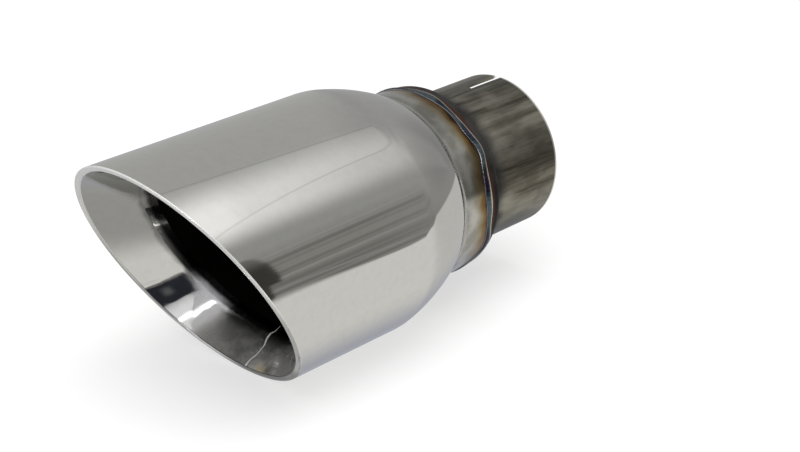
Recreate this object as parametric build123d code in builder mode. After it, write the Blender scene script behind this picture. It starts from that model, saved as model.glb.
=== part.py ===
from build123d import *
import os
from math import acos, cos, degrees, radians, sin, tan

# Double-wall exhaust tip with a slant-cut mouth, in millimetres.
# The origin is the centre of the sleeve's open end. +X is the way the tailpipe leaves,
# the mouth faces -X, and +Z is up with the long side of the slant on top.

# Tailpipe and the straight part of the sleeve that slips over it
pipe_diameter = 63.5
slip_clearance = 0.15
sleeve_wall = 1.2
sleeve_straight = 42.0
slot_length = 19.5
slot_width = 3.2
end_break = 0.3

# Swaged front end of the sleeve
flare_run = 3.0
flare_land = 6.5
flare_bend = 3.0

# Outer shell
shell_diameter = 101.6
shell_wall = 1.2
body_length = 107.1
shoulder_entry_radius = 27.0
shoulder_entry_angle = 10.8
shoulder_radius = 96.0
collar_end_diameter = 79.2
collar_draw = 1.1
collar_length = 15.1
crease_radius = 2.5

# Mouth and liner: depths down the axis behind the rim, and how far the wall has drawn in there
mouth_slant = 30.0
liner_wall = 1.2
liner_clearance = 0.05
funnel_depth = 19.0
funnel_draw = 8.9
throat_depth = 25.0
throat_draw = 10.35

# Welds
lip_height = 1.0
lip_bevel = 0.6
root_gap = 0.4
bead_width = 3.4
bead_height = 0.7

# Sleeve, from its open end forward
sleeve_bore = pipe_diameter / 2 + slip_clearance
sleeve_radius = sleeve_bore + sleeve_wall
flare_radius = collar_end_diameter / 2
flare_foot = -sleeve_straight
flare_crest = flare_foot - flare_run
flare_edge = flare_crest - flare_land

# Shoulder: two tangent arcs, a tight one off the body and a wide one that falls away
# until it meets the root of the collar
shell_radius = shell_diameter / 2
collar_end_radius = collar_end_diameter / 2
collar_root_radius = collar_end_radius + collar_draw
entry = radians(shoulder_entry_angle)
entry_length = shoulder_entry_radius * sin(entry)
entry_drop = shoulder_entry_radius * (1 - cos(entry))
shoulder_drop = shell_radius - collar_root_radius - entry_drop
fall = acos(cos(entry) - shoulder_drop / shoulder_radius)
shoulder_length = entry_length + shoulder_radius * (sin(fall) - sin(entry))

# Shell, from the neck weld forward
collar_end = flare_edge - root_gap
crease = collar_end - collar_length
shoulder_start = crease - shoulder_length
mouth_top = shoulder_start - body_length
mouth_centre = mouth_top + shell_radius * tan(radians(mouth_slant))

# Liner, from the shell's inner face
liner_outside = shell_radius - shell_wall - liner_clearance
liner_inside = liner_outside - liner_wall

# The mouth plane faces forward and down. A cut through a round tube along it is an
# ellipse, longer than the tube is wide by slant_stretch.
slant = radians(mouth_slant)
slant_stretch = 1 / cos(slant)
mouth_plane = Plane(
    origin=(mouth_centre, 0, 0),
    x_dir=(0, 1, 0),
    z_dir=(-cos(slant), 0, -sin(slant)),
)


def plane_behind_mouth(depth: float) -> Plane:
    """Return the plane parallel to the mouth that lies depth down the axis behind it."""
    return Plane(
        origin=(mouth_centre + depth, 0, 0),
        x_dir=mouth_plane.x_dir,
        z_dir=mouth_plane.z_dir,
    )


# Outer shell: body, shoulder and collar spun from one tube, then cut at a slant
with BuildPart() as outer_shell:
    with BuildSketch(Plane.XZ):
        with BuildLine() as shell_line:
            body = Line((mouth_top - shell_wall, shell_radius), (shoulder_start, shell_radius))
            shoulder_entry = JernArc(
                start=body @ 1,
                tangent=body % 1,
                radius=shoulder_entry_radius,
                arc_size=-shoulder_entry_angle,
            )
            shoulder = JernArc(
                start=shoulder_entry @ 1,
                tangent=shoulder_entry % 1,
                radius=shoulder_radius,
                arc_size=-degrees(fall - entry),
            )
            Line(shoulder @ 1, (collar_end, collar_end_radius))
            fillet(shell_line.vertices().sort_by_distance(shoulder @ 1)[0], radius=crease_radius)
            offset(amount=shell_wall, side=Side.RIGHT)
        make_face()
    revolve(axis=Axis.X)
    split(bisect_by=mouth_plane, keep=Keep.BOTTOM)

# Mouth liner: funnel of even depth all round the slanted rim, then a short land where the
# wall turns in line with the gas stream. Each section is a depth and an inside radius.
funnel_sections = (
    (0, liner_inside),
    (funnel_depth, liner_inside - funnel_draw),
    (throat_depth, liner_inside - throat_draw),
)
with BuildPart() as mouth_liner:
    for depth, inside in funnel_sections:
        with BuildSketch(plane_behind_mouth(depth)):
            Ellipse(inside + liner_wall, (inside + liner_wall) * slant_stretch)
    loft(ruled=True)
    for depth, inside in funnel_sections:
        with BuildSketch(plane_behind_mouth(depth)):
            Ellipse(inside, inside * slant_stretch)
    loft(ruled=True, mode=Mode.SUBTRACT)

# Mouth weld: seam over the cut edges of both walls, ground flush with the body all round
# and back to one bevelled lip
with BuildPart() as mouth_weld:
    with BuildSketch(mouth_plane):
        Ellipse(shell_radius, shell_radius * slant_stretch)
        Ellipse(liner_inside, liner_inside * slant_stretch, mode=Mode.SUBTRACT)
    extrude(amount=lip_height, dir=(-1, 0, 0))
    forward = Axis(origin=mouth_plane.origin, direction=mouth_plane.z_dir)
    chamfer(mouth_weld.faces().sort_by(forward)[-1].edges(), length=lip_bevel)

# Inlet sleeve: slip-fit tube with two opposed slots, its front end swaged out to the collar
with BuildPart() as inlet_sleeve:
    with BuildSketch(Plane.XZ):
        with BuildLine():
            FilletPolyline(
                (flare_edge, flare_radius),
                (flare_crest, flare_radius),
                (flare_foot, sleeve_radius),
                (0, sleeve_radius),
                radius=flare_bend,
            )
            offset(amount=sleeve_wall, side=Side.RIGHT)
        make_face()
    revolve(axis=Axis.X)
    with BuildSketch(Plane.XY):
        Rectangle(slot_length, slot_width, align=(Align.MAX, Align.CENTER))
    extrude(amount=2 * sleeve_radius, both=True, mode=Mode.SUBTRACT)
    chamfer(inlet_sleeve.faces().sort_by(Axis.X)[-1].edges(), length=end_break)

# Neck weld: bead over the joint between collar and sleeve, its root filling the gap
with BuildPart() as neck_weld:
    joint = (collar_end + flare_edge) / 2
    collar_toe = joint - bead_width / 2
    collar_toe_radius = collar_end_radius + collar_draw * (collar_end - collar_toe) / collar_length
    with BuildSketch(Plane.XZ):
        with BuildLine():
            cap = ThreePointArc(
                (collar_toe, collar_toe_radius),
                (joint, flare_radius + bead_height),
                (joint + bead_width / 2, flare_radius),
            )
            Polyline(
                cap @ 1,
                (flare_edge, flare_radius),
                (flare_edge, flare_radius - sleeve_wall),
                (collar_end, collar_end_radius - shell_wall),
                (collar_end, collar_end_radius),
                cap @ 0,
            )
        make_face()
    revolve(axis=Axis.X)

outer_shell.part.label = "outer_shell"
mouth_liner.part.label = "mouth_liner"
mouth_weld.part.label = "mouth_weld"
inlet_sleeve.part.label = "inlet_sleeve"
neck_weld.part.label = "neck_weld"

os.makedirs("parts", exist_ok=True)
export_step(outer_shell.part, "parts/outer_shell.step")
export_step(mouth_liner.part, "parts/mouth_liner.step")
export_step(mouth_weld.part, "parts/mouth_weld.step")
export_step(inlet_sleeve.part, "parts/inlet_sleeve.step")
export_step(neck_weld.part, "parts/neck_weld.step")
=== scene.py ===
"""Looks of the polished double-wall exhaust tip: its pieces, finishes, studio and camera."""

import logging
import math
from dataclasses import dataclass, field
from enum import Enum
from typing import Any

import bmesh
import bpy
import numpy as np
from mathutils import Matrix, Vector


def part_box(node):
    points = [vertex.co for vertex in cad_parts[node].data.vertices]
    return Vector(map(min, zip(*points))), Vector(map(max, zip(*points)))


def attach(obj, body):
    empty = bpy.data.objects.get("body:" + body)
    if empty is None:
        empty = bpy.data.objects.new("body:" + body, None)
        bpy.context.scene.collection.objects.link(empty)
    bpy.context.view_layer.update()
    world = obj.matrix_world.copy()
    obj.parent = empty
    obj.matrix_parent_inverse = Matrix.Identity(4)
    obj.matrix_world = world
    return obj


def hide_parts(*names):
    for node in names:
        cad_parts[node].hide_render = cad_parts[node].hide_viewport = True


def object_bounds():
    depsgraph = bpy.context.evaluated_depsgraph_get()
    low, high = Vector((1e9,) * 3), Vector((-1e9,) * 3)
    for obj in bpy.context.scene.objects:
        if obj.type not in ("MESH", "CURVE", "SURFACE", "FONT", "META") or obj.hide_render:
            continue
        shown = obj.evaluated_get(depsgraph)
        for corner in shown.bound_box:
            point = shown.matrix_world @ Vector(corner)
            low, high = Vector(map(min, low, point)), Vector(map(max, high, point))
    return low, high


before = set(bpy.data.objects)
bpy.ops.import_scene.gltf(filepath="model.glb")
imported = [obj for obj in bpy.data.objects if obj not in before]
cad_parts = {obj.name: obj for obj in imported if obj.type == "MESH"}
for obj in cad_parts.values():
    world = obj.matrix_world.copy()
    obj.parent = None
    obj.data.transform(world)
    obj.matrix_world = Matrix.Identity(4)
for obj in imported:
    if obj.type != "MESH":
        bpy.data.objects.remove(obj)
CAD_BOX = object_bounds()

MM = 0.001
TAU = 2 * math.pi
MARK = "mark"

log = logging.getLogger("exhaust_tip")


class Slot(Enum):
    """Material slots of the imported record."""

    POLISHED = "polished_steel"
    LIP = "dressed_weld"
    MILL = "mill_steel"
    BEAD = "raw_weld"


# Shader expressions


class Graph:
    """A node tree that hands out nodes and numbers for Python expressions."""

    def __init__(self, tree: bpy.types.NodeTree) -> None:
        """Take over a tree and empty it.

        Args:
            tree: the node tree of a material or world.
        """
        self.tree = tree
        tree.nodes.clear()

    def node(
        self,
        kind: str,
        settings: dict[str, Any] | None = None,
        inputs: dict[int | str, Any] | None = None,
    ) -> bpy.types.Node:
        """Add a node, set it up and feed it.

        Args:
            kind: the node's type name.
            settings: properties to set first.
            inputs: values, sockets or signals by socket name or number.

        Returns:
            The new node.
        """
        made = self.tree.nodes.new(kind)
        for name, value in (settings or {}).items():
            setattr(made, name, value)
        for key, value in (inputs or {}).items():
            self.feed(made.inputs[key], value)
        return made

    def feed(self, socket: bpy.types.NodeSocket, value: Any) -> None:
        """Link a signal or socket to an input, or write a plain value on it.

        Args:
            socket: the input.
            value: a Signal, an output socket, a number or a tuple.
        """
        if isinstance(value, Signal):
            value = value.socket
        if isinstance(value, bpy.types.NodeSocket):
            self.tree.links.new(value, socket)
        elif isinstance(value, tuple) and len(value) == 3 and socket.type == "RGBA":
            socket.default_value = (*value, 1.0)
        else:
            socket.default_value = value

    def signal(self, kind: str, output: int | str, *given: dict) -> "Signal":
        """Add a node and wrap one of its outputs.

        Args:
            kind: the node's type name.
            output: the output's name or number.
            given: settings, then inputs, as node takes them.

        Returns:
            The output as a signal.
        """
        return Signal(self, self.node(kind, *given).outputs[output])

    def split(self, vector: Any) -> tuple["Signal", "Signal", "Signal"]:
        """Split a vector into its three numbers.

        Args:
            vector: a signal or socket.

        Returns:
            The x, y and z signals.
        """
        made = self.node("ShaderNodeSeparateXYZ", None, {0: vector})
        return tuple(Signal(self, output) for output in made.outputs)

    def join(self, x: Any, y: Any, z: Any) -> "Signal":
        """Join three numbers into a vector.

        Args:
            x: first number or signal.
            y: second number or signal.
            z: third number or signal.

        Returns:
            The vector.
        """
        return self.signal("ShaderNodeCombineXYZ", 0, {}, {0: x, 1: y, 2: z})

    def mix(self, share: Any, low: Any, high: Any) -> "Signal":
        """Mix two colours.

        Args:
            share: 0 shows low and 1 shows high.
            low: a colour or signal.
            high: a colour or signal.

        Returns:
            The mixed colour.
        """
        return self.signal(
            "ShaderNodeMix", 2, {"data_type": "RGBA"}, {0: share, 6: low, 7: high}
        )

    def noise(self, vector: Any, scale: float, detail: float = 2.0, rough: float = 0.5) -> "Signal":
        """Sample smooth noise.

        Args:
            vector: where to sample.
            scale: features per unit.
            detail: octaves.
            rough: strength of the finer octaves.

        Returns:
            A signal round 0.5.
        """
        inputs = {"Vector": vector, "Scale": scale, "Detail": detail, "Roughness": rough}
        return self.signal("ShaderNodeTexNoise", 0, {}, inputs)

    def bump(self, height: Any, distance: float, strength: float = 1.0) -> "Signal":
        """Turn a height into a shading normal.

        Args:
            height: the height signal, 0 to 1.
            distance: the height that 1 stands for, in metres.
            strength: share of the effect.

        Returns:
            The normal.
        """
        inputs = {"Height": height, "Distance": distance, "Strength": strength}
        return self.signal("ShaderNodeBump", 0, {}, inputs)


@dataclass(frozen=True)
class Signal:
    """A number or vector in a node tree that takes part in Python expressions."""

    graph: Graph
    socket: bpy.types.NodeSocket

    def _math(self, operation: str, *values: Any) -> "Signal":
        """Add one Math node.

        Args:
            operation: its operation.
            values: its inputs in order.

        Returns:
            Its result.
        """
        inputs = dict(enumerate(values))
        return self.graph.signal("ShaderNodeMath", 0, {"operation": operation}, inputs)

    def __add__(self, other: Any) -> "Signal":
        """Return self + other."""
        return self._math("ADD", self, other)

    def __radd__(self, other: Any) -> "Signal":
        """Return other + self."""
        return self._math("ADD", other, self)

    def __sub__(self, other: Any) -> "Signal":
        """Return self - other."""
        return self._math("SUBTRACT", self, other)

    def __rsub__(self, other: Any) -> "Signal":
        """Return other - self."""
        return self._math("SUBTRACT", other, self)

    def __mul__(self, other: Any) -> "Signal":
        """Return self * other."""
        return self._math("MULTIPLY", self, other)

    def __rmul__(self, other: Any) -> "Signal":
        """Return other * self."""
        return self._math("MULTIPLY", other, self)

    def __truediv__(self, other: Any) -> "Signal":
        """Return self / other."""
        return self._math("DIVIDE", self, other)

    def __abs__(self) -> "Signal":
        """Return the size of self."""
        return self._math("ABSOLUTE", self)

    def root(self) -> "Signal":
        """Return the square root."""
        return self._math("SQRT", self)

    def angle_to(self, other: Any) -> "Signal":
        """Return the angle of (other, self) in radians, as atan2 gives it."""
        return self._math("ARCTAN2", self, other)

    def lower(self, other: Any) -> "Signal":
        """Return the lower of self and other."""
        return self._math("MINIMUM", self, other)

    def higher(self, other: Any) -> "Signal":
        """Return the higher of self and other."""
        return self._math("MAXIMUM", self, other)

    def soft_lower(self, other: Any, reach: float) -> "Signal":
        """Return the lower of self and other, with the corner between them rounded."""
        return self._math("SMOOTH_MIN", self, other, reach)

    def rise(self, start: Any, end: Any) -> "Signal":
        """Ease from 0 to 1 between two values.

        Args:
            start: the value that gives 0.
            end: the value that gives 1, below start for a fall.

        Returns:
            A signal from 0 to 1.
        """
        return self.graph.signal(
            "ShaderNodeMapRange",
            0,
            {"interpolation_type": "SMOOTHSTEP"},
            {"Value": self, "From Min": start, "From Max": end},
        )

    def band(self, start: float, end: float, soft: float) -> "Signal":
        """Return 1 between start and end, easing to 0 over soft at both ends."""
        return self.rise(start - soft, start + soft) * self.rise(end + soft, end - soft)


# Finishes


@dataclass(frozen=True)
class Finish:
    """A metal finish. Its kinds add what changes over the surface."""

    name: str
    tone: tuple[float, float, float] = (0.67, 0.665, 0.65)
    roughness: float = 0.05

    def material(self) -> bpy.types.Material:
        """Make the finish's material.

        Returns:
            The material, with one Principled surface.
        """
        made = bpy.data.materials.new(self.name)
        made.use_nodes = True
        graph = Graph(made.node_tree)
        place = graph.signal("ShaderNodeTexCoord", "Object")
        surface = graph.node("ShaderNodeBsdfPrincipled", None, {"Metallic": 1.0})
        for name, value in self.surface(graph, place).items():
            graph.feed(surface.inputs[name], value)
        graph.node("ShaderNodeOutputMaterial", None, {0: surface.outputs[0]})
        return made

    def surface(self, graph: Graph, place: Signal) -> dict[str, Any]:
        """Work out what the surface's sockets get.

        Args:
            graph: the material's graph.
            place: the point on the piece, in metres.

        Returns:
            Values and signals by socket name.
        """
        return {"Base Color": self.tone, "Roughness": self.roughness}


@dataclass(frozen=True)
class MirrorPolish(Finish):
    """Buffed stainless sheet with a faint haze, fine specks and the sheet's own waviness."""

    haze: float = 0.03
    speck_size: float = 0.35
    wave_scale: float = 22.0
    wave_height: float = 0.010

    def surface(self, graph: Graph, place: Signal) -> dict[str, Any]:
        """Work out the polished sheet.

        Args:
            graph: the material's graph.
            place: the point on the piece, in metres.

        Returns:
            Values and signals by socket name.
        """
        cloud = graph.noise(place, 60.0, 3.0)
        speck = graph.noise(place, 1 / (self.speck_size * MM), 1.0).rise(0.70, 0.80)
        mottle = graph.noise(place, 260.0, 3.0, 0.6).rise(0.42, 0.66)
        wave = graph.noise(place, self.wave_scale, 1.0)
        return {
            "Base Color": graph.mix((speck * 0.3).higher(mottle * 0.05), self.tone, (0.30, 0.29, 0.27)),
            "Roughness": self.roughness + cloud * self.haze,
            "Normal": graph.bump(wave, self.wave_height * MM),
        }


@dataclass(frozen=True)
class ShellPolish(MirrorPolish):
    """Mirror polish that stops at the collar, which is duller and tinted by the weld's heat."""

    collar_length: float = 15.1
    tint_reach: float = 8.5

    def surface(self, graph: Graph, place: Signal) -> dict[str, Any]:
        """Work out the shell's outside.

        Args:
            graph: the material's graph.
            place: the point on the piece, in metres.

        Returns:
            Values and signals by socket name.
        """
        sheet = super().surface(graph, place)
        to_weld = graph.signal("ShaderNodeAttribute", "Fac", {"attribute_name": MARK})
        uneven = graph.noise(place, 110.0, 2.0) - 0.5
        ahead = (to_weld - 1.3) / self.tint_reach + uneven * 0.7
        collar = to_weld.rise(self.collar_length + 0.6, self.collar_length - 0.8)
        cloud = graph.noise(place, 85.0, 3.0)
        dull = graph.mix(cloud.rise(0.40, 0.66), (0.35, 0.345, 0.315), (0.52, 0.515, 0.48))
        smoky = graph.mix(cloud.rise(0.50, 0.38) * 0.35, dull, (0.21, 0.20, 0.165))
        _, y, z = graph.split(place)
        lean = z.angle_to(y * -1.0) * (180 / math.pi) + uneven * 12.0
        stain = lean.rise(40.0, 32.0) * lean.rise(8.0, 13.0) * (to_weld + uneven * 6.0).rise(11.0, 6.0)
        steel = graph.mix(collar, sheet["Base Color"], smoky)
        straw = graph.mix(ahead.rise(1.0, 0.30), steel, (0.27, 0.215, 0.115))
        amber = graph.mix(ahead.rise(0.50, 0.22), straw, (0.19, 0.105, 0.035))
        burnt = graph.mix(ahead.rise(0.24, 0.02), amber, (0.028, 0.016, 0.012))
        patched = graph.mix(stain * 0.55, burnt, (0.10, 0.085, 0.055))
        return sheet | {
            "Base Color": patched,
            "Roughness": sheet["Roughness"] + collar * 0.11 + ahead.rise(0.5, 0.0) * 0.10,
        }


@dataclass(frozen=True)
class LinerPolish(MirrorPolish):
    """Mirror polish that dulls in the throat, sooty on its low side, with painted shade on its upper side and
    in the throat and painted highlights low down.
    """

    mouth_centre: float = -177.8
    slant: float = 30.0
    land_start: float = 18.3
    painted_glint_angle: float = -88.5

    def surface(self, graph: Graph, place: Signal) -> dict[str, Any]:
        """Work out the liner's face.

        Args:
            graph: the material's graph.
            place: the point on the piece, in metres.

        Returns:
            Values and signals by socket name.
        """
        sheet = super().surface(graph, place)
        x, y, z = graph.split(place)
        depth = (x + z * math.tan(math.radians(self.slant))) / MM - self.mouth_centre
        angle = z.angle_to(y) * (180 / math.pi)
        blotch = graph.noise(place, 75.0, 3.0)
        haze = graph.noise(place, 130.0, 2.0)
        land = (depth + (haze - 0.5) * 3.0).rise(self.land_start - 1.0, self.land_start + 1.5)
        # A white patch before the turn, not metal, is a painted highlight.
        painted_lighting = (depth + (blotch - 0.5) * 8.0).rise(15.0, 18.5)
        painted_lighting = painted_lighting * angle.rise(-26.0, -40.0) * angle.rise(-62.0, -48.0)
        low = (z / MM).rise(-15.0, -34.0) * angle.rise(-54.0, -66.0) * depth.rise(20.0, 11.0)
        film = low * (0.35 + blotch.rise(0.40, 0.58) * 0.65)
        dust = angle.band(-36.0, -32.0, 1.5) * depth.band(5.0, 9.0, 1.5) * 0.3
        film = film.higher(dust * blotch.rise(0.3, 0.6))
        rust = angle.band(-103.0, -94.0, 3.0) * depth.rise(7.0, 3.0) * (0.5 + blotch.rise(0.40, 0.56) * 0.5)
        film = film.higher(rust * 0.9)
        brown = graph.mix(rust, (0.30, 0.295, 0.28), (0.72, 0.57, 0.34))
        # Painted shade: a wedge on the upper side and the land in the throat are darkened.
        painted_shade_wedge = (angle + depth * 1.5).rise(50.0, 60.0) * angle.rise(72.0, 60.0) * 0.55
        dim = graph.mix(painted_shade_wedge.higher(land * 0.75), sheet["Base Color"], (0.20, 0.20, 0.195))
        painted_glow_added = graph.mix(painted_lighting, dim, (0.95, 0.95, 0.97))
        # Painted shade: deep in the throat the colour fades to near black.
        deep = graph.mix((depth + haze).rise(21.0, 23.5), painted_glow_added, (0.015, 0.015, 0.015))
        sooted = graph.mix(film, deep, brown)
        # A thin white line along the bottom, not metal, is a painted highlight.
        wander = graph.noise(place, 110.0, 1.0) - 0.5
        thin_band = abs(angle - self.painted_glint_angle + wander * 9.0).rise(0.62, 0.22) * angle.rise(0.0, -20.0)
        height = graph.noise(place, 95.0, 1.0) + haze * land * 0.6
        dulled = film * 0.22 + land * angle.rise(8.0, -12.0) * 0.22 + haze.rise(0.48, 0.70) * 0.08
        return sheet | {
            "Base Color": graph.mix(thin_band, sooted, (1.0, 1.0, 1.0)),
            "Metallic": 1 - (thin_band.higher(film * 0.75).higher(painted_lighting * 0.9)),
            "Roughness": sheet["Roughness"] + dulled,
            "Normal": graph.bump(height, self.wave_height * MM),
        }


@dataclass(frozen=True)
class DressedWeld(Finish):
    """Ground and polished weld metal with pits left along its joint line; its lower side towards -Y is
    darker, as painted shade.
    """

    pit_size: float = 0.55

    def surface(self, graph: Graph, place: Signal) -> dict[str, Any]:
        """Work out the dressed weld.

        Args:
            graph: the material's graph.
            place: the point on the piece, in metres.

        Returns:
            Values and signals by socket name.
        """
        _, y, z = graph.split(place)
        radius = (y * y + z * z).root() / MM
        thin_band = radius.band(50.2, 50.7, 0.2)
        patchy = graph.noise(place, 45.0, 1.0).rise(0.42, 0.54) * (z / MM).rise(4.0, -20.0)
        pit = graph.noise(place, 1 / (self.pit_size * MM), 0.0).rise(0.56, 0.64) * thin_band * patchy
        # Painted shade: the lower side towards -Y is darker.
        painted_lighting = (z / MM + patchy * 6.0).rise(-24.0, -38.0) * (y / MM).rise(20.0, -4.0)
        tone = graph.mix(painted_lighting * 0.85, self.tone, (0.27, 0.262, 0.25))
        return {
            "Base Color": graph.mix(pit, tone, (0.05, 0.045, 0.04)),
            "Metallic": 1 - (z / MM).rise(-10.0, 15.0) * 0.45,
            "Roughness": self.roughness + pit * 0.4,
            "Normal": graph.bump(1 - pit, 0.15 * MM),
        }


@dataclass(frozen=True)
class MillTube(Finish):
    """Unpolished drawn tube, streaked along its length, darkened by the weld's heat and by painted shade near
    the flare and underneath, with a painted highlight on its rubbed end.
    """

    dark: tuple[float, float, float] = (0.105, 0.096, 0.074)
    light: tuple[float, float, float] = (0.30, 0.285, 0.24)
    heat_and_shade_reach: float = 12.5
    heat_and_shade_fade: float = 8.0

    def surface(self, graph: Graph, place: Signal) -> dict[str, Any]:
        """Work out the mill finish.

        Args:
            graph: the material's graph.
            place: the point on the piece, in metres.

        Returns:
            Values and signals by socket name.
        """
        x, y, z = graph.split(place)
        behind = graph.signal("ShaderNodeAttribute", "Fac", {"attribute_name": MARK})
        line = graph.noise(graph.join(x * 14.0, y * 260.0, z * 260.0), 1.0, 3.0, 0.6)
        broad = graph.noise(graph.join(x * 26.0, y * 85.0, z * 85.0), 1.0, 4.0, 0.6)
        smear = graph.noise(graph.join(x * 38.0, y * 60.0, z * 60.0), 1.0, 3.0, 0.55)
        shade = (line * 0.40 + broad * 0.60).rise(0.37, 0.64)
        sheet = graph.mix(shade, self.dark, self.light)
        drawn = graph.mix(line.rise(0.43, 0.32) * 0.65, sheet, (0.05, 0.045, 0.036))
        rubbed = graph.mix(smear.rise(0.54, 0.76) * 0.45, drawn, (0.40, 0.38, 0.33))
        stain_and_underside_shade = graph.mix(smear.rise(0.46, 0.34) * 0.45, rubbed, (0.085, 0.075, 0.055))
        # Painted shade: the underside is darker.
        under = (z / MM + (broad - 0.5) * 14.0).rise(-12.0, -25.0)
        stain_and_underside_shade = graph.mix(under * 0.75, stain_and_underside_shade, (0.055, 0.050, 0.040))
        # Dark zone behind the flare: heat tint from the weld, and painted shade where the flare hides the
        # tube.
        heat = (behind - self.heat_and_shade_reach) / self.heat_and_shade_fade + (broad - 0.5) * 1.0 + (smear - 0.5) * 0.6
        hot = heat.rise(1.0, 0.0)
        heat_and_shade_tone = graph.mix(smear.rise(0.40, 0.62), (0.030, 0.027, 0.028), (0.085, 0.080, 0.078))
        burnt = graph.mix(hot, stain_and_underside_shade, heat_and_shade_tone)
        rust = (behind - 2.0) / 1.6 + (smear - 0.5) * 1.5
        red = graph.mix(rust.rise(1.0, 0.2) * 0.8, burnt, (0.11, 0.045, 0.028))
        # Light band at the end: a rubbed bare edge, and a painted edge highlight too.
        rim = (x / MM).rise(-1.5, -0.95) * 0.85
        return {
            "Base Color": graph.mix(rim, red, (0.92, 0.90, 0.84)),
            "Roughness": self.roughness + (line - 0.5) * 0.2 + hot * 0.22,
            "Normal": graph.bump(line, 0.025 * MM),
        }


@dataclass(frozen=True)
class RawBead(Finish):
    """Weld bead as laid: blue-black crown, bright toes, and a red-brown line on the hot side."""

    def surface(self, graph: Graph, place: Signal) -> dict[str, Any]:
        """Work out the raw bead.

        Args:
            graph: the material's graph.
            place: the point on the piece, in metres.

        Returns:
            Values and signals by socket name.
        """
        mark = graph.signal("ShaderNodeAttribute", "Fac", {"attribute_name": MARK})
        cloud = graph.noise(place, 150.0, 2.0)
        drift = graph.noise(place, 60.0, 1.0)
        across = mark + (cloud - 0.5) * 0.22
        core = graph.mix(drift.rise(0.44, 0.56), (0.022, 0.034, 0.044), (0.10, 0.13, 0.15))
        purple = graph.mix(drift.rise(0.47, 0.40) * 0.8, core, (0.055, 0.040, 0.085))
        front = graph.mix(across.rise(0.20, 0.10), purple, (0.42, 0.42, 0.41))
        back = graph.mix(across.band(0.60, 0.80, 0.06), front, (0.62, 0.60, 0.54))
        hot = graph.mix(across.rise(0.80, 0.90), back, (0.16, 0.060, 0.032))
        return {"Base Color": hot, "Roughness": 0.26 + cloud * 0.18}


@dataclass(frozen=True)
class PaintedShadeInside(Finish):
    """Inside faces that no light reaches, painted dull and brown-black as painted shade."""

    def surface(self, graph: Graph, place: Signal) -> dict[str, Any]:
        """Work out the dull inside.

        Args:
            graph: the material's graph.
            place: the point on the piece, in metres.

        Returns:
            Values and signals by socket name.
        """
        cloud = graph.noise(place, 70.0, 3.0)
        tone = graph.mix(cloud, (0.012, 0.011, 0.010), (0.035, 0.032, 0.028))
        return {"Base Color": tone, "Roughness": 0.55 + cloud * 0.2}


# Geometry


@dataclass(frozen=True)
class SlantCut:
    """The mouth's plane, which leans so that the tube is longest on top."""

    centre: float
    slant: float = 30.0

    def shift(self, height: np.ndarray | float) -> np.ndarray | float:
        """Return how far ahead of its centre the plane lies at a height above the axis."""
        return -height * math.tan(math.radians(self.slant))


@dataclass(frozen=True)
class WeldLine:
    """Joint between collar and sleeve, fitted by hand, which wanders along the axis."""

    bulges: tuple[tuple[float, float, float], ...] = (
        (145.0, 9.0, 1.9),
        (169.0, 9.0, -0.6),
        (208.0, 14.0, 3.0),
    )

    def shift(self, angles: np.ndarray) -> np.ndarray:
        """Work out how far back the joint lies.

        Each bulge has its angle in degrees, its spread in degrees and its height in mm.

        Args:
            angles: where to look, in radians.

        Returns:
            The shift in mm, one value an angle.
        """
        total = np.zeros_like(angles)
        for middle, spread, height in self.bulges:
            off = (np.degrees(angles) % 360 - middle) / spread
            total += height * np.exp(-off * off)
        return total


@dataclass
class Trace:
    """A wall line drawn in steps. Heading is how steeply it falls towards the axis."""

    x: float
    radius: float
    heading: float = 0.0
    points: list[tuple[float, float, float]] = field(default_factory=list)

    def straight_to(self, x: float, radius: float, steps: int) -> "Trace":
        """Draw a straight run.

        Args:
            x: where it ends along the axis.
            radius: where it ends from the axis.
            steps: pieces it is drawn in.

        Returns:
            This line.
        """
        self.heading = math.atan2(self.radius - radius, x - self.x)
        start = (self.x, self.radius)
        for share in np.linspace(0, 1, steps + 1):
            self.x = start[0] + (x - start[0]) * share
            self.radius = start[1] + (radius - start[1]) * share
            self._mark()
        return self

    def bend(self, bend_radius: float, heading: float, steps: int) -> "Trace":
        """Draw an arc that ends with a new heading.

        Args:
            bend_radius: the arc's radius.
            heading: the heading at its end, in radians.
            steps: pieces it is drawn in.

        Returns:
            This line.
        """
        turn = bend_radius if heading > self.heading else -bend_radius
        first, x, radius = self.heading, self.x, self.radius
        for angle in np.linspace(first, heading, steps + 1)[1:]:
            self.heading = angle
            self.x = x + turn * (math.sin(angle) - math.sin(first))
            self.radius = radius - turn * (math.cos(first) - math.cos(angle))
            self._mark()
        return self

    def _mark(self) -> None:
        """Note the present point, unless it is already noted."""
        point = (self.x, self.radius, self.heading)
        if not self.points or math.dist(point[:2], self.points[-1][:2]) > 1e-6:
            self.points.append(point)

    def inner(self, wall: float) -> list[tuple[float, float]]:
        """Return the line's other face, a wall's thickness nearer the axis."""
        return [(x - wall * math.sin(h), r - wall * math.cos(h)) for x, r, h in self.points]

    def outer(self) -> list[tuple[float, float]]:
        """Return the line's own face."""
        return [(x, r) for x, r, _ in self.points]


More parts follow.
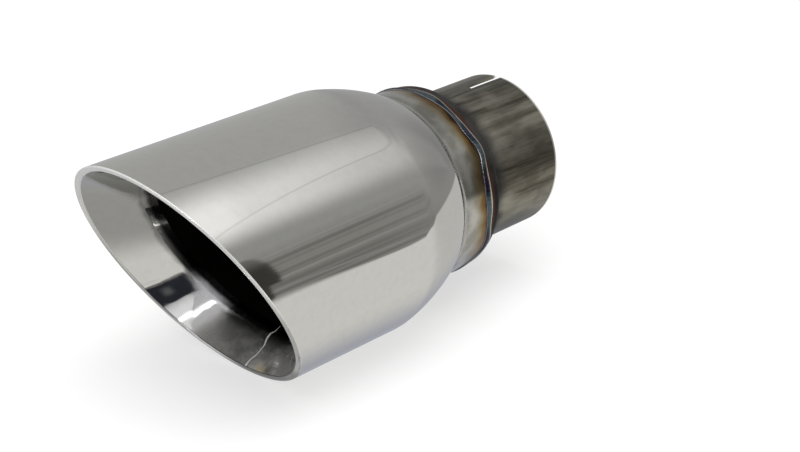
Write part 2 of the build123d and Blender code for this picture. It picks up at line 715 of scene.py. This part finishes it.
@dataclass
class RingMesh:
    """Quads woven between rings of points, the last ring back to the first.

    A mark is a number that a ring's points carry for the finish, such as a distance.
    """

    name: str
    rings: list[np.ndarray]
    row_finish: list[int]
    marks: list[float] = field(default_factory=list)
    skipped: set[tuple[int, int]] = field(default_factory=set)
    added: list[tuple[int, int, int, int]] = field(default_factory=list)

    def build(self, finishes: list[bpy.types.Material], crease: float = 35.0) -> bpy.types.Object:
        """Make the object.

        Args:
            finishes: materials that row_finish counts.
            crease: edges that turn by more than this many degrees stay sharp.

        Returns:
            The linked object, at the origin.
        """
        count, around = len(self.rings), len(self.rings[0])
        faces, finish = [], []
        for i in range(count):
            for j in range(around):
                if (i, j) in self.skipped:
                    continue
                a, b = i * around, (i + 1) % count * around
                k = (j + 1) % around
                faces.append((a + j, a + k, b + k, b + j))
                finish.append(self.row_finish[i])
        faces += self.added
        finish += [self.row_finish[0]] * len(self.added)
        mesh = bpy.data.meshes.new(self.name)
        mesh.from_pydata(np.vstack(self.rings).tolist(), [], faces)
        for material in finishes:
            mesh.materials.append(material)
        mesh.polygons.foreach_set("material_index", finish)
        if self.marks:
            carried = mesh.attributes.new(MARK, "FLOAT", "POINT")
            carried.data.foreach_set("value", np.repeat(self.marks, around))
        work = bmesh.new()
        work.from_mesh(mesh)
        loose = [v for v in work.verts if not v.link_faces]
        bmesh.ops.delete(work, geom=loose, context="VERTS")
        bmesh.ops.recalc_face_normals(work, faces=work.faces)
        work.to_mesh(mesh)
        work.free()
        mesh.shade_smooth()
        mesh.set_sharp_from_angle(angle=math.radians(crease))
        made = bpy.data.objects.new(self.name, mesh)
        bpy.context.scene.collection.objects.link(made)
        return made


def ring(x: np.ndarray | float, radius: np.ndarray | float, angles: np.ndarray) -> np.ndarray:
    """Place a ring of points round the axis.

    Args:
        x: place along the axis in mm, one or one a point.
        radius: distance from the axis in mm, one or one a point.
        angles: the points' angles, 0 at +Y and a quarter turn at +Z.

    Returns:
        The points in metres, one a row.
    """
    y, z = radius * np.cos(angles), radius * np.sin(angles)
    return np.column_stack([np.broadcast_to(x, y.shape), y, z]) * MM


# Pieces


@dataclass
class OuterShell:
    """Spun outer tube: body, shoulder and collar, with its mouth cut at a slant."""

    cut: SlantCut
    weld: WeldLine
    radius: float = 50.8
    wall: float = 1.2
    shoulder_start: float = -99.3
    crease: float = -67.0
    entry_radius: float = 27.0
    entry_angle: float = 10.8
    shoulder_radius: float = 96.0
    fall_angle: float = 28.11
    crease_radius: float = 2.5
    collar_angle: float = 4.17
    collar_end: float = -51.9
    collar_end_radius: float = 39.6
    around: int = 384

    def trace(self) -> Trace:
        """Draw the wall behind the body.

        Returns:
            The line from the shoulder's start to the collar's end.
        """
        entry, fall = math.radians(self.entry_angle), math.radians(self.fall_angle)
        collar = math.radians(self.collar_angle)
        run_out = self.crease_radius * math.tan((fall - collar) / 2) / self.shoulder_radius
        line = Trace(self.shoulder_start, self.radius)
        line.bend(self.entry_radius, entry, 14)
        line.bend(self.shoulder_radius, fall - run_out, 44)
        line.bend(self.crease_radius, collar, 14)
        return line.straight_to(self.collar_end, self.collar_end_radius, 14)

    def build(self, finishes: list[bpy.types.Material]) -> bpy.types.Object:
        """Build the shell.

        Args:
            finishes: the polished outside, then the dull inside.

        Returns:
            The piece.
        """
        angles = np.linspace(0, TAU, self.around, endpoint=False)
        line = self.trace()
        rings = [self._body_ring(self.radius, share, angles) for share in np.linspace(0, 1, 31)[:-1]]
        rings += [self._ring(x, r, angles) for x, r in line.outer()]
        outside = len(rings)
        # The hidden side is drawn with every second ring, and both its ends stay
        inner = line.inner(self.wall)
        rings += [self._ring(x, r, angles) for x, r in inner[::-2] + inner[:1]]
        inside = self.radius - self.wall
        rings += [self._body_ring(inside, share, angles) for share in np.linspace(1, 0, 9)]
        row_finish = [0] * outside + [1] * (len(rings) - outside - 1) + [0]
        to_weld = [self.collar_end - self.shoulder_start] * len(rings)
        to_weld[outside - len(line.points) : outside] = [self.collar_end - x for x, _ in line.outer()]
        shell = RingMesh("outer_shell_skin", rings, row_finish, to_weld).build(finishes)
        return seat(shell, Slot.POLISHED, "outer_shell")

    def _ring(self, x: float, radius: float, angles: np.ndarray) -> np.ndarray:
        """Place a ring behind the body, drawn back with the weld line towards the collar's end.

        Args:
            x: place along the axis.
            radius: the ring's radius.
            angles: the points' angles.

        Returns:
            The ring's points.
        """
        share = max(0.0, (x - self.crease) / (self.collar_end - self.crease))
        return ring(x + share * self.weld.shift(angles), radius, angles)

    def _body_ring(self, radius: float, share: float, angles: np.ndarray) -> np.ndarray:
        """Place a ring between the slanted mouth and the shoulder.

        Args:
            radius: the ring's radius.
            share: 0 at the mouth and 1 at the shoulder.
            angles: the points' angles.

        Returns:
            The ring's points.
        """
        mouth = self.cut.centre + self.cut.shift(radius * np.sin(angles))
        return ring(mouth + (self.shoulder_start - mouth) * share, radius, angles)


@dataclass
class MouthLiner:
    """Second wall inside the mouth, a funnel of even depth with a short land at the throat."""

    cut: SlantCut
    rim_radius: float = 48.35
    wall: float = 1.2
    turn_depth: float = 19.0
    turn_radius: float = 39.45
    turn_bend: float = 6.0
    throat_depth: float = 25.0
    throat_radius: float = 38.0
    around: int = 384

    def build(self, finishes: list[bpy.types.Material]) -> bpy.types.Object:
        """Build the liner.

        Args:
            finishes: the polished face, then the dull back.

        Returns:
            The piece.
        """
        angles = np.linspace(0, TAU, self.around, endpoint=False)
        steep = math.atan2(self.rim_radius - self.turn_radius, self.turn_depth)
        easy = math.atan2(self.turn_radius - self.throat_radius, self.throat_depth - self.turn_depth)
        short = self.turn_bend * math.tan((steep - easy) / 2)
        line = Trace(0.0, self.rim_radius)
        line.straight_to(
            self.turn_depth - short * math.cos(steep), self.turn_radius + short * math.sin(steep), 24
        )
        line.bend(self.turn_bend, easy, 10).straight_to(self.throat_depth, self.throat_radius, 6)
        rings = [self._ring(depth, radius, angles) for depth, radius in line.outer()]
        face = len(rings)
        back = [(x + self.wall * math.sin(h), r + self.wall * math.cos(h)) for x, r, h in line.points]
        # The back is drawn with every third ring, and both its ends stay
        back = [(min(max(x, 0.0), self.throat_depth), r) for x, r in back[::-3] + back[:1]]
        rings += [self._ring(depth, min(radius, 49.55), angles) for depth, radius in back]
        row_finish = [0] * face + [1] * (len(rings) - face)
        liner = RingMesh("mouth_liner_skin", rings, row_finish).build(finishes, 50.0)
        return seat(liner, Slot.POLISHED, "mouth_liner")

    def _ring(self, depth: float, radius: float, angles: np.ndarray) -> np.ndarray:
        """Place a ring parallel to the mouth's plane.

        Args:
            depth: how far behind the plane, along the axis.
            radius: the ring's radius.
            angles: the points' angles.

        Returns:
            The ring's points.
        """
        return ring(self.cut.centre + depth + self.cut.shift(radius * np.sin(angles)), radius, angles)


@dataclass
class MouthLip:
    """Seam weld over both walls' edges, ground to a full round."""

    cut: SlantCut
    outside: float = 50.8
    inside: float = 48.35
    height: float = 1.0
    around: int = 512

    def build(self, finishes: list[bpy.types.Material]) -> bpy.types.Object:
        """Build the lip.

        Args:
            finishes: the dressed weld.

        Returns:
            The piece.
        """
        angles = np.linspace(0, TAU, self.around, endpoint=False)
        middle, half = (self.outside + self.inside) / 2, (self.outside - self.inside) / 2
        rings = []
        for turn in np.linspace(0, math.pi, 17):
            radius = middle + half * math.cos(turn)
            x = self.cut.centre + self.cut.shift(radius * np.sin(angles))
            rings.append(ring(x - self.height * math.sin(turn), radius, angles))
        lip = RingMesh("mouth_lip", rings, [0] * len(rings)).build(finishes, 60.0)
        return seat(lip, Slot.LIP, "mouth_weld")


@dataclass
class InletSleeve:
    """Slip-fit tube with two opposed slots, its front end swaged out to the collar."""

    weld: WeldLine
    radius: float = 33.1
    wall: float = 1.2
    front: float = -51.5
    crest: float = -45.0
    foot: float = -42.0
    flare_radius: float = 39.6
    bend: float = 3.0
    slot_length: float = 19.5
    slot_width: float = 3.2
    end_break: float = 0.4
    around: int = 360

    def trace(self) -> Trace:
        """Draw the wall from the flare's front edge to the slots' ends.

        Returns:
            The line.
        """
        climb = math.atan2(self.flare_radius - self.radius, self.foot - self.crest)
        cut = self.bend * math.tan(climb / 2)
        line = Trace(self.front, self.flare_radius)
        line.straight_to(self.crest - cut, self.flare_radius, 6).bend(self.bend, climb, 10)
        line.straight_to(
            self.foot - cut * math.cos(climb), self.radius + cut * math.sin(climb), 4
        ).bend(self.bend, 0.0, 10)
        return line.straight_to(-self.slot_length, self.radius, 12)

    def _ring(self, x: float, radius: float) -> np.ndarray:
        """Place a ring, its flare's edge drawn back with the weld line.

        Args:
            x: place along the axis.
            radius: the ring's radius.

        Returns:
            The ring's points.
        """
        angles = self._angles(radius)
        share = max(0.0, (self.crest - self.bend - x) / (self.crest - self.bend - self.front))
        return ring(x + share * self.weld.shift(angles), radius, angles)

    def _angles(self, radius: float) -> np.ndarray:
        """Spread angles so that two of them fall on each slot's walls.

        Args:
            radius: the ring's radius.

        Returns:
            The angles, with the slots' walls at fixed counts.
        """
        half = math.asin(self.slot_width / 2 / radius)
        quarter = self.around // 4
        inner = np.linspace(-half, half, 5)
        outer = np.linspace(half, math.pi - half, 2 * quarter - 3)[1:-1]
        side = np.concatenate([inner, outer])
        return np.concatenate([side, side + math.pi]) + math.pi / 2

    def build(self, finishes: list[bpy.types.Material]) -> bpy.types.Object:
        """Build the sleeve.

        Args:
            finishes: the mill finish, then the cut edges.

        Returns:
            The piece.
        """
        line = self.trace()
        bore = self.radius - self.wall
        straight = np.linspace(-self.slot_length, -self.end_break, 12)[1:]
        outer = line.outer() + [(x, self.radius) for x in straight]
        outer.append((0.0, self.radius - self.end_break))
        inner = line.inner(self.wall) + [(x, bore) for x in straight]
        inner.append((0.0, bore + self.end_break))
        slot_row = len(line.points) - 1
        count = len(outer)
        rings = [self._ring(x, r) for x, r in outer]
        rings += [self._ring(x, r) for x, r in reversed(inner)]
        around = len(rings[0])
        cut_starts = (0, around // 2)
        skipped = {
            (i, start + j)
            for i in range(slot_row, 2 * count - slot_row - 1)
            for start in cut_starts
            for j in range(4)
        }
        added = []
        for start in cut_starts:
            for j in (start, start + 4):
                for i in range(slot_row, count - 1):
                    far = 2 * count - 1 - i
                    added.append(
                        (i * around + j, (i + 1) * around + j, (far - 1) * around + j, far * around + j)
                    )
            far = 2 * count - 1 - slot_row
            for j in range(start, start + 4):
                added.append(
                    (slot_row * around + j, slot_row * around + j + 1, far * around + j + 1, far * around + j)
                )
        row_finish = [0] * (count - 2) + [1] * 3 + [0] * (count - 1)
        from_weld = [x - self.front for x, _ in outer + inner[::-1]]
        sleeve = RingMesh("inlet_sleeve_skin", rings, row_finish, from_weld, skipped, added)
        return seat(sleeve.build(finishes), Slot.MILL, "inlet_sleeve")


@dataclass
class NeckBead:
    """Rippled weld bead over the joint between collar and sleeve."""

    weld: WeldLine
    middle: float = -51.7
    seat_radius: float = 39.55
    width: float = 3.3
    height: float = 0.72
    pitch: float = 1.9
    around: int = 1080
    seed: int = 7

    def build(self, finishes: list[bpy.types.Material]) -> bpy.types.Object:
        """Build the bead.

        Args:
            finishes: the raw bead.

        Returns:
            The piece.
        """
        angles = np.linspace(0, TAU, self.around, endpoint=False)
        ripples = round(TAU * self.seat_radius / self.pitch)
        wander = self._wander(angles, 9, 0.14)
        swell = 1 + self._wander(angles, 14, 0.18)
        rings = []
        for turn in np.linspace(0, math.pi, 13):
            across = -math.cos(turn)
            ripple = 0.5 + 0.5 * np.cos(ripples * angles + 6 * wander + 1.6 * across**2)
            lift = self.height * swell * math.sin(turn) * (0.94 + 0.06 * ripple)
            x = self.middle + wander + self.width / 2 * swell * across + self.weld.shift(angles)
            rings.append(ring(x, self.seat_radius + lift, angles))
        across = np.linspace(0, 1, len(rings)).tolist()
        bead = RingMesh("neck_bead", rings, [0] * len(rings), across).build(finishes, 80.0)
        return seat(bead, Slot.BEAD, "neck_weld")

    def _wander(self, angles: np.ndarray, waves: int, reach: float) -> np.ndarray:
        """Add a few seeded waves that close round the ring.

        Args:
            angles: where to sample.
            waves: the most waves round the ring.
            reach: the typical size.

        Returns:
            The wandering, one value an angle.
        """
        dice = np.random.default_rng(self.seed + waves)
        total = np.zeros_like(angles)
        for count in range(2, waves + 1):
            total += dice.normal() * np.cos(count * angles + dice.uniform(0, TAU)) / math.sqrt(waves)
        return reach * total


def seat(piece: bpy.types.Object, slot: Slot, *nodes: str) -> bpy.types.Object:
    """Fix a piece to the frame.

    Args:
        piece: the piece, at the origin.
        slot: the record's slot for the piece, not used.
        nodes: the solids it stands for.

    Returns:
        The piece.
    """
    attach(piece, "root")
    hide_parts(*nodes)
    return piece


# Studio


@dataclass(frozen=True)
class Studio:
    """Surroundings that the steel mirrors, a pale floor and one soft lamp for its shadow."""

    ceiling: tuple[float, float, float] = (0.47, 0.47, 0.46)
    far_wall: tuple[float, float, float] = (0.285, 0.285, 0.28)
    table: tuple[float, float, float] = (0.80, 0.79, 0.755)
    table_shade: tuple[float, float, float] = (0.42, 0.43, 0.48)
    table_near: tuple[float, float, float] = (0.40, 0.40, 0.38)
    floor_height: float = -0.0508
    floor_reach: float = 6.0

    def surroundings(self) -> bpy.types.World:
        """Make the world, which camera rays see as white.

        Returns:
            The world.
        """
        world = bpy.data.worlds.new("studio")
        world.use_nodes = True
        graph = Graph(world.node_tree)
        towards = graph.signal("ShaderNodeTexCoord", "Generated")
        seen = self.mirrored(graph, towards)
        path = graph.node("ShaderNodeLightPath")
        colour = graph.mix(Signal(graph, path.outputs["Is Camera Ray"]), seen, (1.0, 1.0, 1.0))
        light = graph.node("ShaderNodeBackground", None, {0: colour, 1: 1.0})
        graph.node("ShaderNodeOutputWorld", None, {0: light.outputs[0]})
        bpy.context.scene.world = world
        return world

    def mirrored(self, graph: Graph, towards: Signal) -> Signal:
        """Work out what lies in each direction from the part.

        Args:
            graph: the world's graph.
            towards: the direction.

        Returns:
            The colour there.
        """
        x, y, z = graph.split(towards)
        roll = 90 + y.angle_to(z) * (180 / math.pi)
        turn = y.angle_to(x) * (180 / math.pi)
        sway = graph.noise(towards, 5.0, 2.0) - 0.5
        fray = graph.noise(towards, 45.0, 2.0) - 0.5
        ahead = x.rise(-0.2, 0.3)

        # Ceiling, lit along one side, with a thin frame round the soft box
        ceiling = graph.mix(x.rise(0.655, 0.68), self.ceiling, (0.40, 0.40, 0.395))
        ceiling = graph.mix(roll.rise(60, 40) * roll.rise(0, 20), ceiling, (0.37, 0.37, 0.355))
        ceiling = graph.mix(x.rise(0.86, 0.99), ceiling, self.far_wall)
        ceiling = graph.mix(x.rise(0.2, -0.2) * y.rise(0.0, -0.3), ceiling, (0.62, 0.62, 0.63))
        glow = 0.32 + x.rise(1.03, 0.74) * 0.28 + x.rise(0.71, 0.60) * 0.44
        glow = glow + x.rise(0.619, 0.604) * 0.16
        reach = (x - 0.66).higher(0.0).lower(0.05) * 250 - (x - 0.78).higher(0.0) * 200
        lit = roll.rise(35, 60) * (roll + reach).rise(106, 72) * ahead
        ceiling = graph.mix(lit, ceiling, graph.join(glow, glow * 0.998, glow * 0.978))
        corner = (0.68 - x) / 0.071
        low_edge = 70.0 - corner * abs(corner) * 14.0
        high_edge = 103.8 - (x - 0.612) * 110
        inside = (roll - low_edge).soft_lower(high_edge - roll, 5.0)
        end = (0.690 - x) * 150 + (0.680 - x).higher(0.0) * 2000
        inside = inside.soft_lower(end, 12.0) + sway * 1.2
        ceiling = graph.mix(inside.rise(-0.5, 3.0) * ahead * 0.10, ceiling, (1.0, 1.0, 0.99))
        frame_line = abs(inside).rise(1.0, 0.25) * x.rise(0.3, 0.5) * (0.22 - x.rise(0.676, 0.686) * 0.10)
        ceiling = graph.mix(frame_line, ceiling, (0.14, 0.14, 0.14))

        # Room behind the table, streaked, and much darker on the camera's side
        streak = graph.noise(graph.join(x * 0.8, y * 0.6, z * 19.0), 1.0, 3.0)
        calm = 0.5 + (streak - 0.5) * (1.0 - x.rise(0.685, 0.72) * 0.55)
        room = graph.mix(calm.rise(0.36, 0.64), (0.19, 0.182, 0.168), (0.33, 0.325, 0.305))
        room = graph.mix(x.rise(0.655, 0.69) * 0.35 + x.rise(0.80, 0.94) * 0.50, room, (0.335, 0.33, 0.32))
        top = 0.40 - (x - 0.69).higher(0.0) * 0.95 - x.rise(0.3, -0.2) * 0.06
        below = (z - top).rise(0.0, -0.20) * y.rise(0.20, -0.05)
        view = graph.mix(below, ceiling, room)
        dark_top = 0.155 + (turn + 52).lower(0.0) * -0.0032 + fray * 0.10
        height = ((z + 0.05) * 6.0).soft_lower((dark_top - z) * 6.0, 0.2)
        dark = height.soft_lower((-51.4 - turn) * 0.30, 0.2).soft_lower((turn + 168) * 0.1, 0.3)
        dark = (dark + sway * 0.25).rise(-0.02, 0.22) * x.rise(0.57, 0.50)
        view = graph.mix(dark, view, (0.024, 0.026, 0.033))

        # Table, which ends in a line and falls into shade under and beside the part
        shade = y.rise(-0.35, 0.40)
        near = z.rise(-0.42, -0.86) * x.rise(0.45, 0.20)
        table = graph.mix(near, graph.mix(shade, self.table, self.table_shade), self.table_near)
        table = graph.mix(x.rise(0.70, 0.92) * 0.85, table, (0.61, 0.605, 0.575))
        front = x.rise(-0.45, -0.65) * y.rise(0.10, -0.15)
        table = graph.mix(front * 0.75, table, (0.14, 0.14, 0.135))
        edge = x.rise(0.62, 0.672) * -0.05 + x.rise(0.670, 0.702) * 0.083 + x.rise(0.76, 1.02) * 0.077
        edge = edge - 0.06 - x.rise(0.25, 0.60) * 0.14 + fray * x.rise(0.2, -0.1) * 0.2
        soft = 0.012 + x.rise(0.67, 0.60) * x.rise(0.40, 0.55) * 0.05
        light_line = (z - edge).band(0.085, 0.105, 0.012) * x.band(0.55, 0.675, 0.02) * 0.35
        view = graph.mix(light_line, view, self.ceiling)
        view = graph.mix((z - edge).rise(soft, soft * -1.0), view, table)

        # Dark shape that shows beside the rim
        across, along = (x - 0.606) / 0.0135, roll / 27
        shape = (1 - (across * across + along * along).root()) * 40 + fray * 5.0
        shape = shape.soft_lower(roll + 2.5, 3.0)
        foot = ((0.6140 - x) * 2400 + fray * 5.0).soft_lower(roll + 14, 5.0).soft_lower(6 - roll, 4.0)
        shape = shape.higher(foot).rise(-1.0, 2.5) * ahead
        shape_tone = graph.mix(roll.rise(27, 13), (0.19, 0.185, 0.17), (0.052, 0.050, 0.043))
        view = graph.mix(shape, view, shape_tone)

        # Soft boxes in front of the mouth and a patch of table that they light
        upper = x * -0.415 + y * -0.700 + z * 0.581
        view = graph.mix(upper.rise(0.951, 0.9965), view, (0.97, 0.97, 1.0))
        view = graph.mix(upper.rise(0.9990, 0.99985), view, (4.0, 4.0, 4.1))
        patch = x * -0.925 + y * 0.235 + z * -0.298
        view = graph.mix(patch.rise(0.965, 0.9965), view, (0.92, 0.92, 0.97))
        view = graph.mix(patch.rise(0.9991, 0.99985), view, (6.0, 6.0, 6.2))
        bulb = x * -0.610 + y * -0.532 + z * 0.587
        return graph.mix(bulb.rise(0.9955, 0.9985), view, (16.0, 16.0, 16.0))

    def floor(self) -> bpy.types.Object:
        """Lay the floor, white to the camera and open to mirror rays.

        Returns:
            The floor.
        """
        mesh = bpy.data.meshes.new("floor")
        work = bmesh.new()
        bmesh.ops.create_grid(work, x_segments=1, y_segments=1, size=self.floor_reach)
        bmesh.ops.translate(work, verts=work.verts, vec=(0, 0, self.floor_height))
        work.to_mesh(mesh)
        work.free()
        floor = bpy.data.objects.new("floor", mesh)
        bpy.context.scene.collection.objects.link(floor)
        material = bpy.data.materials.new("pale_floor")
        material.use_nodes = True
        graph = Graph(material.node_tree)
        lit = graph.node("ShaderNodeBsdfDiffuse", None, {0: (0.90, 0.90, 0.90)})
        even = graph.node("ShaderNodeEmission", None, {0: (1.0, 1.0, 1.0), 1: 1.0})
        seen = graph.node("ShaderNodeMixShader", None, {0: 0.62, 1: lit.outputs[0], 2: even.outputs[0]})
        path = graph.node("ShaderNodeLightPath")
        open_floor = graph.node("ShaderNodeBsdfTransparent")
        both = graph.node(
            "ShaderNodeMixShader",
            None,
            {0: path.outputs["Is Glossy Ray"], 1: seen.outputs[0], 2: open_floor.outputs[0]},
        )
        graph.node("ShaderNodeOutputMaterial", None, {0: both.outputs[0]})
        mesh.materials.append(material)
        return floor

    def lamp(self) -> bpy.types.Object:
        """Hang the soft lamp that casts the shadow.

        Returns:
            The lamp.
        """
        data = bpy.data.lights.new("overhead", "AREA")
        data.shape = "DISK"
        data.size = 1.6
        data.energy = 30.0
        made = bpy.data.objects.new("overhead", data)
        made.location = (-0.5, -0.3, 1.6)
        made.rotation_euler = (Vector((-0.1, 0.0, 0.0)) - made.location).to_track_quat("-Z", "Y").to_euler()
        made.visible_glossy = False
        bpy.context.scene.collection.objects.link(made)
        return made


@dataclass(frozen=True)
class Viewpoint:
    """Camera at the photograph's place."""

    place: tuple[float, float, float] = (-0.5793, -0.4776, 0.2938)
    aim: tuple[float, float, float] = (0.6724, 0.6206, -0.4034)
    lens: float = 83.6

    def build(self) -> bpy.types.Object:
        """Set up the camera.

        Returns:
            The camera.
        """
        data = bpy.data.cameras.new("camera")
        data.lens = self.lens
        data.sensor_width = 36.0
        data.clip_start = 0.01
        made = bpy.data.objects.new("camera", data)
        made.location = self.place
        made.rotation_euler = Vector(self.aim).to_track_quat("-Z", "Y").to_euler()
        bpy.context.scene.collection.objects.link(made)
        bpy.context.scene.camera = made
        return made


def main() -> None:
    """Build the part, its studio and the camera, in that order."""
    logging.basicConfig(level=logging.INFO, format="%(message)s")
    bpy.context.scene.view_settings.view_transform = "Standard"

    shell_low, shell_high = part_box("outer_shell")
    body_radius = (shell_high.z - shell_low.z) / 2 / MM
    cut = SlantCut(shell_low.x / MM + body_radius * math.tan(math.radians(30.0)))

    weld = WeldLine()
    polish = ShellPolish("shell_polish", roughness=0.015, haze=0.02).material()
    liner_polish = LinerPolish("liner_polish", roughness=0.03, wave_height=0.11).material()
    # The inside faces are painted near black: painted shade.
    dull = PaintedShadeInside("painted_shade_inside").material()
    mill = MillTube("mill_tube", roughness=0.36).material()
    cut_edge = Finish("cut_edge", (0.85, 0.84, 0.82), 0.28).material()
    lip_finish = DressedWeld("dressed_weld", (0.84, 0.835, 0.82), 0.24).material()
    bead_finish = RawBead("raw_bead").material()

    pieces = (
        OuterShell(cut, weld).build([polish, dull]),
        MouthLiner(cut).build([liner_polish, dull]),
        MouthLip(cut).build([lip_finish]),
        InletSleeve(weld).build([mill, cut_edge]),
        NeckBead(weld).build([bead_finish]),
    )
    for piece in pieces:
        log.info("%s: %d faces", piece.name, len(piece.data.polygons))

    studio = Studio(floor_height=CAD_BOX[0].z)
    studio.surroundings()
    studio.floor()
    studio.lamp()
    Viewpoint().build()


if __name__ == "__main__":
    main()
